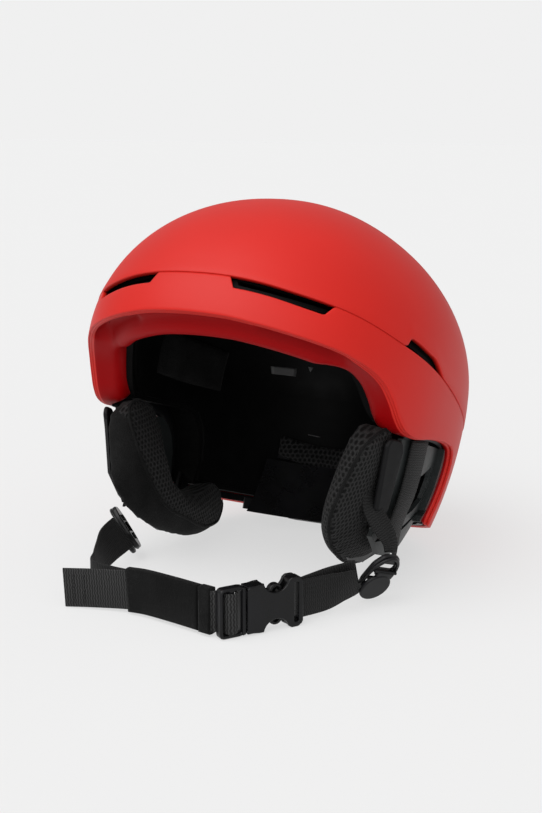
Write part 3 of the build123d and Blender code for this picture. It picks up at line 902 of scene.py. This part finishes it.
# On the wearer's left the front strap comes round and over the rear one.
SIDE_OVER = [
    ((94, -42, -46), (0, 1, -0.2), 0.0), ((91.4, -41, -64), (0, 1, -0.2), 0.0),
    ((90.8, -41.4, -78), (0.3, 0.8, 0.4), 0.0), ((94.6, -39, -86), (0.4, 0.6, 0.7), 0.0),
    ((99.4, -34, -93.5), (0.38, 0.6, 0.6), 0.0), ((103, -30.6, -100), (0.4, 0.8, 0.3), 0.0),
    ((104.2, -29.4, -106.4), (0.4, 0.92, 0), 0.0),
]
RIGHT_SHIFT = (7.0, 11.0, 0.0)
WEB_THICK = 1.5


def make_side_straps():
    for side, word in ((1, "left"), (-1, "right")):
        dx, dy, _ = RIGHT_SHIFT if side < 0 else (0, 0, 0)
        move = Vector((dx, dy * COS, dy * SIN))
        front = ("front", SIDE_FRONT, 17, None)
        if side > 0:
            front = ("front", SIDE_OVER, 13, [(0, 13), (0.8, 13), (1, 10)])
        for kind, path, width, widths in (("rear", SIDE_REAR, 21, None), front):
            stations = []
            for (x, y, z), (a, b, c), share in path:
                stations.append((Vector((side * x, y, z)) + move * share, (side * a, b, c)))
            node = kind + "_strap_" + word
            strap(node + "_web", stations, width, WEB_THICK, WEB_SHADED, "helmet", (node,),
                  place=head, widths=widths)


BUCKLE = (54.0, -136.0, FLOOR + 15.3)
TAIL = [
    (-70.5, -153.7), (-52, -149), (-30, -145), (-17, -146), (6, -150.5), (24, -154.5),
    (33, -156.0), (38, -154.4), (41, -152.6),
]


def tail_line(first, last):
    out = []
    for x, y in TAIL[first:last]:
        rise = 3.0 * max(0.0, min(1.0, (x + 72) / 60))
        out.append(((x, y, FLOOR + 0.2 + rise + 12.25), (0, 0, 1)))
    return out


def make_chin_straps():
    middle = FLOOR + 15.3
    outer = [
        ((66.6, -116.8, middle), (0, 0, 1)), ((76, -98, middle - 0.4), (0.1, 0, 1)),
        ((83.5, -87, middle + 1.6), (0.4, -0.1, 1)), ((89.6, -81.4, middle + 4.4), (0.6, 0, 0.8)),
    ]
    inner = [
        ((66.6, -116.2, middle + 1), (0, 0, 1)), ((76, -96.4, middle + 3.4), (0.1, 0, 1)),
        ((83.5, -85.6, middle + 6.2), (0.4, -0.1, 1)), ((89.6, -80.4, middle + 8.4), (0.6, 0, 0.8)),
    ]
    strap("chin_left_outer", outer, 23.4, WEB_THICK, WEB_SHADED, "helmet", ("chin_strap_left",), shift=0.9)
    strap("chin_left_inner", inner, 21.4, WEB_THICK, WEB_SHADED, "helmet", shift=-0.9)
    loop = [
        ((-84, -68.5, -102.5), (-0.6, 0, 0.8)), ((-84, -85, -106), (-0.35, 0, 0.9)),
        ((-80, -102, -109.4), (-0.1, 0, 1)), ((-72.5, -119, -111), (0, 0, 1)),
        ((-62, -135, -111.2), (0, 0, 1)),
    ]
    back = [((x, y + 1.4, z), w) for (x, y, z), w in tail_line(2, 9)]
    web = strap("chin_right_web", loop + back, 23.5, WEB_THICK, WEB_SHADED, None, ("chin_strap_right",))
    row((-40, -140, -110))
    row((30, -155, -110))
    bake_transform(web)
    strap("tail_web", tail_line(0, 9), 24.5, WEB_THICK, WEB, "buckle_male", ("strap_tail",), shift=1.3)
    for k, x in enumerate((-64.0, -57.5)):
        y = float(np.interp(x, [p[0] for p in TAIL], [p[1] for p in TAIL])) - 2.2
        line = [row((x, y, FLOOR + z)) for z in (3.5, 9, 15, 21.5)]
        stitch("tail_stitches_" + str(k), line, 0.0022, 0.0003, THREAD, "buckle_male")


# ---- buckle

def plate(name, outline, holes, thick, bevel, mat, place):
    """A flat plate with rounded edges, centred on its own plane.  place maps (x, y, z)."""
    curve = bpy.data.curves.new(name, "CURVE")
    curve.dimensions = "2D"
    curve.fill_mode = "BOTH"
    curve.extrude = (thick / 2 - bevel) * 0.001
    curve.bevel_depth = bevel * 0.001
    curve.offset = -bevel * 0.001
    curve.bevel_resolution = 3
    for ring in [outline] + list(holes):
        spline = curve.splines.new("POLY")
        spline.points.add(len(ring) - 1)
        for point, (x, y) in zip(spline.points, ring):
            point.co = (x * 0.001, y * 0.001, 0, 1)
        spline.use_cyclic_u = True
    source = bpy.data.objects.new(name + "_curve", curve)
    bpy.context.scene.collection.objects.link(source)
    mesh = bpy.data.meshes.new_from_object(source)
    bpy.data.objects.remove(source)
    points = [place(v.co * 1000) for v in mesh.vertices]
    faces = [tuple(p.vertices) for p in mesh.polygons]
    obj = build(name, points, faces, mat, place=lambda p: p)
    mod = obj.modifiers.new("normals", "WEIGHTED_NORMAL")
    mod.keep_sharp = True
    obj.data.set_sharp_from_angle(angle=math.radians(50))
    return obj


def rounded(points, radius, steps=5):
    """A polygon whose corners are rounded.  A point may carry its own radius."""
    out = []
    n = len(points)
    for i in range(n):
        p = Vector(points[i][:2])
        r = points[i][2] if len(points[i]) > 2 else radius
        a = Vector(points[i - 1][:2]) - p
        b = Vector(points[(i + 1) % n][:2]) - p
        if r <= 0:
            out.append(tuple(p))
            continue
        half = a.angle(b) / 2
        cut = min(r / math.tan(half), a.length * 0.49, b.length * 0.49)
        start, end = p + a.normalized() * cut, p + b.normalized() * cut
        for k in range(steps + 1):
            s = k / steps
            out.append(tuple(start * (1 - s) ** 2 + p * (2 * s * (1 - s)) + end * s * s))
    return out


def box_outline(left, right, half, radius):
    """A rounded rectangle from left to right, half high to each side."""
    return rounded([(left, -half), (right, -half), (right, half), (left, half)], radius)


def circle(x, y, radius, steps=28, start=0.0, end=360.0):
    span = [math.radians(start + (end - start) * k / steps) for k in range(steps + (end - start < 360))]
    return [(x + radius * math.cos(a), y + radius * math.sin(a)) for a in span]


TURN = math.radians(56.9)


def buckle_point(p):
    """Buckle-local millimetres to the row frame.  A plate's plane is the buckle's X and Z."""
    x, z, y = p
    y = -y
    x = 25.4 + (x - 25.4) * 1.06
    bx, by, bz = BUCKLE
    c, s = math.cos(TURN), math.sin(TURN)
    return row((bx + x * c - y * s, by + x * s + y * c, bz + z))


def female_outline():
    top = [(-9.4, 13.6, 2.2), (-2.0, 14.6, 3.0)]
    arc = [(x, z, 0) for x, z in circle(8.6, 16.0, 8.0, 14, 190, 345)]
    end = [(18.2, 15.2, 1.2), (22.6, 15.2, 3.0), (25.4, 12.6, 2.4)]
    upper = top + arc + end
    lower = [(x, -z, r) for x, z, r in reversed(upper)]
    return rounded(upper + lower, 1.0)


def at_depth(offset):
    return lambda p: buckle_point((p[0], p[1], p[2] + offset))


def make_buckle():
    outline = female_outline()
    slot_hole = box_outline(19.8, 22.6, 12.2, 0.8)
    pieces = []
    for side, word in ((1, "front"), (-1, "back")):
        pieces.append(plate("female_" + word, outline, [slot_hole], 2.2, 0.7, GLOSS, at_depth(side * 3.7)))
    for side, word in ((1, "top"), (-1, "bottom")):
        corners = [(-9.2, 14.2), (1.0, 14.2), (1.0, 12.9), (-9.2, 12.9)]
        rail = rounded([(x, side * z) for x, z in corners], 0.3)
        pieces.append(plate("female_rail_" + word, rail, [], 8.4, 0.3, GLOSS, at_depth(0)))
    block = box_outline(16.6, 25.0, 14.2, 1.0)
    pieces.append(plate("female_block", block, [slot_hole], 9.0, 0.8, GLOSS, at_depth(0)))
    for piece in pieces:
        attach(piece, "helmet")
    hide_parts("buckle_female")

    frame_outline = box_outline(-25.4, -10.4, 15.0, 3.2)
    slots = [box_outline(-23.2, -20.0, 12.7, 0.9), box_outline(-16.4, -12.4, 12.7, 0.9)]
    frame_piece = plate("male_frame", frame_outline, slots, 6.4, 1.3, GLOSS, at_depth(0))
    tongue = rounded([(-11.2, -1.5), (11.2, -1.4), (11.2, 1.4), (-11.2, 1.5)], 0.6)
    guide = plate("male_guide", tongue, [], 4.4, 0.6, GLOSS, at_depth(0))
    lip = rounded([(-12.2, -14.4), (-10.0, -14.0), (-10.0, 14.0), (-12.2, 14.4)], 0.6)
    ledge = plate("male_ledge", lip, [], 8.2, 0.8, GLOSS, at_depth(0))
    for piece in (frame_piece, guide, ledge):
        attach(piece, "buckle_male")
    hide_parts("buckle_male")
    over_bar = ((-22.0, -0.6), (-20.6, 3.3), (-18.2, 4.4), (-15.6, 3.3), (-14.0, -0.6))
    bar = [((x, 0, y), (0, 1, 0)) for x, y in over_bar]
    strap("tail_wrap", bar, 24.2, WEB_THICK, WEB, "buckle_male", place=buckle_point)

    for side, word in ((1, "upper"), (-1, "lower")):
        outline = [(-9.2, 7.2, 0.6), (-9.2, 10.2, 0.6), (2.0, 10.0, 3.0)]
        outline += [(x, z, 0) for x, z in circle(9.3, 8.2, 4.3, 16, 160, -110)]
        outline += [(5.0, 4.9, 1.5), (1.0, 7.0, 3.0)]
        ring = [(x, side * z, r) for x, z, r in outline]
        hole = [(x, side * z) for x, z in circle(9.4, 8.6, 2.0, 18)]
        arm = plate("prong_" + word + "_arm", rounded(ring, 0.5), [hole], 4.6, 0.8, GLOSS, at_depth(0))
        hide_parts("prong_" + word)
        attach(arm, "prong_" + word)


def make_sleeve():
    strap("sleeve", tail_line(2, 6), 27.4, 5.6, VELOUR, "buckle_male", ("strap_sleeve",), shift=0.4)
    lift = FLOOR + 3.2 + 12.25
    keeper = [((25.4, -154.8, lift), (0, 0, 1)), ((33.0, -156.2, lift), (0, 0, 1))]
    strap("keeper", keeper, 28.2, 6.4, KNIT, "buckle_male", ("strap_keeper",), shift=0.4)


# ---- dividers

DX = Vector((0.6, 0.0, 0.8))
DN = Vector((0.695, -0.496, -0.521)).normalized()
DX = (DX - DN * DX.dot(DN)).normalized()
DY = DN.cross(DX)


def arm_point(side):
    def place(p):
        y, z, lift = p
        a, b, c = HALF[0] - 6.2 + lift, HALF[1] - 6.2 + lift, HALF[3] - 6.2 + lift
        return head((side * a * math.sqrt(1 - (y / b) ** 2 - (z / c) ** 2), y, z))
    return place


def make_arms():
    corners = [(-51, -45, 3), (-49, -40, 5), (-38, -40, 6), (-34.5, -46, 5), (-28, -84, 3), (-40, -84, 3)]
    outline = rounded(corners, 4)
    for side, word in ((1, "left"), (-1, "right")):
        arm = plate("arm_" + word, outline, [], 3.6, 1.5, ARM_BLACK, arm_point(side))
        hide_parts("chassis_arm_" + word)
        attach(arm, "helmet")


def divider_point(side):
    def place(p):
        q = Vector((97.0, -66.0, -104.0)) + DX * p[0] + DY * p[1] + DN * p[2]
        shift = Vector(RIGHT_SHIFT) if side < 0 else Vector((0, 0, 0))
        return row(Vector((side * q.x, q.y, q.z)) + shift)
    return place


def make_dividers():
    for side, word in ((1, "left"), (-1, "right")):
        place = divider_point(side)
        outline = rounded([(-16, -7, 8), (-16, 7, 8), (-5, 10.4, 6), (8, 10.4, 8), (16, 6, 6), (16, -6, 6),
                           (8, -10.4, 8), (-5, -10.4, 6)], 6, 7)
        slots = [box_outline(x - 2.3, x + 2.3, 8.1, 1.2) for x in (-7, 7)]
        base = plate("divider_frame_" + word, outline, slots, 3.0, 0.9, GLOSS, place)
        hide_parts("divider_" + word)
        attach(base, "helmet")
        turns = np.linspace(0, 2 * math.pi, 64, endpoint=False)
        loop = [(15.2 * math.cos(a), 9.6 * math.sin(a), 1.6 + 0.9 * math.cos(a)) for a in turns]
        rim = tube("divider_rim_" + word, loop, 1.25, GLOSS, place=place, closed=True, sides=10)
        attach(rim, "helmet")
        disc = plate("cam_disc_" + word, circle(-7, 0, 10.3, 56), [], 2.8, 1.1, BLACK,
                     lambda p: place((p[0], p[1], p[2] + 4.4)))
        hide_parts("cam_lever_" + word)
        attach(disc, "cam_" + word)
        tab = box_outline(1.6, 5.4, 6.6, 1.0)
        root = plate("cam_root_" + word, tab, [], 3.4, 0.8, BLACK,
                     lambda p: place((p[0], p[1], p[2] + 3.6)))
        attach(root, "cam_" + word)


# ---- inside

def inner_point(p, inset):
    """A rough head point pulled radially to the liner's surface at an inset."""
    a, b, up, down = (v - inset for v in HALF)
    c = up if p[2] > 0 else down
    k = math.sqrt((p[0] / a) ** 2 + (p[1] / b) ** 2 + (p[2] / c) ** 2)
    return np.array(p, dtype=float) / k


def patch(name, corners, inset, swell, mat, size=24, power=4.0):
    """A closed patch on the liner.  corners are head points; swell is its thickness."""
    c = [np.array(p, dtype=float) for p in corners]
    back, front = [], []
    for i in range(size):
        for j in range(size):
            u, v = i / (size - 1), j / (size - 1)
            p = c[0] * (1 - u) * (1 - v) + c[1] * u * (1 - v) + c[2] * u * v + c[3] * (1 - u) * v
            edge = (1 - abs(2 * u - 1) ** power) * (1 - abs(2 * v - 1) ** power)
            back.append(inner_point(p, inset))
            front.append(inner_point(p, inset + 0.12 + swell * max(edge, 0.0) ** 0.5))
    faces = [tuple(reversed(f)) for f in grid_faces(size, size)]
    shift = size * size
    faces += [tuple(v + shift for v in f) for f in grid_faces(size, size)]
    rim = [j for j in range(size)] + [i * size + size - 1 for i in range(1, size)]
    rim += [shift - 1 - j for j in range(1, size)] + [i * size for i in range(size - 2, 0, -1)]
    for a, b in zip(rim, rim[1:] + rim[:1]):
        faces.append((a, b, b + shift, a + shift))
    obj = build(name, back + front, faces, mat)
    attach(obj, "helmet")
    return obj


def make_inside():
    brow = [(-62, -90, 31), (62, -90, 31), (64, -98, 17), (-64, -98, 17)]
    crown = [(-28, -44, 70), (28, -44, 70), (28, 50, 66), (-28, 50, 66)]
    left = [(84, -12, 20), (76, 60, 20), (78, 60, -9), (86, -12, -9)]
    right = [(-x, y, z) for x, y, z in left]
    nape = [(-38, 90, -34), (38, 90, -34), (38, 90, -50), (-38, 90, -50)]
    for name, node, corners, inset, swell, mat, size in (
        ("brow_cushion", "brow_pad", brow, 27.3, 4.6, KNIT, 40),
        ("crown_cushion", "crown_pad", crown, 27.3, 4.8, KNIT, 34),
        ("side_cushion_left", "side_pad_left", left, 27.3, 4.8, KNIT, 30),
        ("side_cushion_right", "side_pad_right", right, 27.3, 4.8, KNIT, 30),
        ("nape_cushion", "cradle_pad", nape, 40.4, 5.0, MESH, 40),
    ):
        pad = patch(name, corners, inset, swell, mat, size)
        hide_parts(node)
    plate_corners = [(-58, 94, 18), (-40, 103, 19), (-40, 103, 13), (-56, 94, 12)]
    patch("size_plate", plate_corners, 27.15, 0.2, LABEL, 8, 30)
    mark_corners = [(-33, 107, 22), (-29, 108, 22), (-30.9, 108, 18), (-31.1, 108, 18)]
    patch("mark", mark_corners, 27.15, 0.2, LABEL, 6, 30)
    for k, (w, z) in enumerate(((9, -28), (7, -36), (4, -40), (9, -46))):
        x = -17 - w
        corners = [(x, 110, z), (-17, 111, z), (-17, 111, z - 0.7), (x, 110, z - 0.7)]
        patch("line_" + str(k), corners, 27.2, 0.15, LABEL, 5, 30)


# ---- CAD nodes

def dress_nodes():
    """Materials for the CAD nodes that stay as they are."""
    looks = {
        # foam_liner and slip_liner take black darkened further as painted shade.
        "foam_liner": FOAM, "slip_liner": LINER, "rear_trim": BLACK, "ear_chassis": GREY,
        "ear_carrier": GLOSS, "cradle_hanger": BLACK, "cradle": GLOSS,
        "dial_housing": BLACK, "dial_knob": BLACK, "dial_pinion": BLACK, "band": BLACK,
        "clip_base": BLACK, "clip_lever": BLACK, "clip_pin": STEEL, "cam_pin": BLACK,
        # The vent parts take near-black painted shade.
        "front_vent": DARK, "side_vent": DARK, "rear_vent": DARK,
    }
    for node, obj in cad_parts.items():
        for start, mat in looks.items():
            if node.startswith(start):
                if not obj.data.materials:
                    obj.data.materials.append(mat)
                for slot in obj.material_slots:
                    slot.link = "OBJECT"
                    slot.material = mat
                break


make_ear_pad(1, 9.0, 1.0)
make_ear_pad(-1, 0.0, 0.0)
make_side_straps()
make_chin_straps()
make_buckle()
make_sleeve()
make_arms()
make_dividers()
make_inside()
dress_nodes()


# ---- stage

def make_stage():
    mesh = bpy.data.meshes.new("floor")
    size = 12.0
    corners = [(-size, -size, 0), (size, -size, 0), (size, size, 0), (-size, size, 0)]
    mesh.from_pydata(corners, [], [(0, 1, 2, 3)])
    floor = bpy.data.objects.new("floor", mesh)
    bpy.context.scene.collection.objects.link(floor)
    n = Nodes("floor_paper")
    where = n.coords().outputs["Object"]
    tone = n.ramp(n.noise(where, 3.0), [(0.3, (0.199, 0.199, 0.199)), (0.7, (0.201, 0.201, 0.201))])
    glow = (FLOOR_GLOW, FLOOR_GLOW, FLOOR_GLOW, 1)
    paper = n.finish(tone, 0.9, Specular_IOR_Level=0.0, Emission_Color=glow, Emission_Strength=1.0)
    mesh.materials.append(paper)
    world = bpy.data.worlds.new("studio")
    bpy.context.scene.world = world
    world.use_nodes = True
    tree = world.node_tree
    seen = tree.nodes["Background"]
    seen.inputs["Color"].default_value = (0.871, 0.871, 0.871, 1)
    lit = tree.nodes.new("ShaderNodeBackground")
    where = tree.nodes.new("ShaderNodeTexCoord")
    facing = tree.nodes.new("ShaderNodeVectorMath")
    facing.operation = "DOT_PRODUCT"
    facing.inputs[1].default_value = Vector((0.05, -0.5, 0.86)).normalized()
    ramp = tree.nodes.new("ShaderNodeValToRGB")
    ramp.color_ramp.elements[0].position = 0.0
    ramp.color_ramp.elements[0].color = (0.42, 0.42, 0.42, 1)
    ramp.color_ramp.elements[1].position = 1.0
    ramp.color_ramp.elements[1].color = (1.3, 1.3, 1.3, 1)
    middle = ramp.color_ramp.elements.new(0.6)
    middle.color = (0.62, 0.62, 0.62, 1)
    camera_ray = tree.nodes.new("ShaderNodeLightPath")
    mix = tree.nodes.new("ShaderNodeMixShader")
    link = tree.links.new
    link(where.outputs["Generated"], facing.inputs[0])
    link(facing.outputs["Value"], ramp.inputs["Fac"])
    link(ramp.outputs["Color"], lit.inputs["Color"])
    link(camera_ray.outputs["Is Camera Ray"], mix.inputs["Fac"])
    link(lit.outputs[0], mix.inputs[1])
    link(seen.outputs[0], mix.inputs[2])
    link(mix.outputs[0], tree.nodes["World Output"].inputs["Surface"])
    lights = (
        ("key", 1.5, 50, (-0.35, -0.5, 1.0)),
        ("fill", 1.0, 70, (0.35, -0.9, 0.55)),
    )
    for name, power, spread, where in lights:
        lamp = bpy.data.lights.new(name, "SUN")
        lamp.energy = power
        lamp.angle = math.radians(spread)
        obj = bpy.data.objects.new(name, lamp)
        obj.rotation_euler = Vector(where).to_track_quat("Z", "Y").to_euler()
        bpy.context.scene.collection.objects.link(obj)
    bpy.context.scene.view_settings.view_transform = "Standard"


def make_camera():
    data = bpy.data.cameras.new("camera")
    data.sensor_width = 36.0
    data.lens = 61.1
    camera = bpy.data.objects.new("camera", data)
    bpy.context.scene.collection.objects.link(camera)
    right = Vector((0.89101, 0.45399, 0.0))
    up = Vector((-0.0944, 0.1853, 0.9782))
    back = right.cross(up).normalized()
    up = back.cross(right)
    turn = Matrix((right, up, back)).transposed().to_4x4()
    camera.matrix_world = Matrix.Translation(row((400.42, -803.91, 168.25))) @ turn
    bpy.context.scene.camera = camera


make_stage()
make_camera()
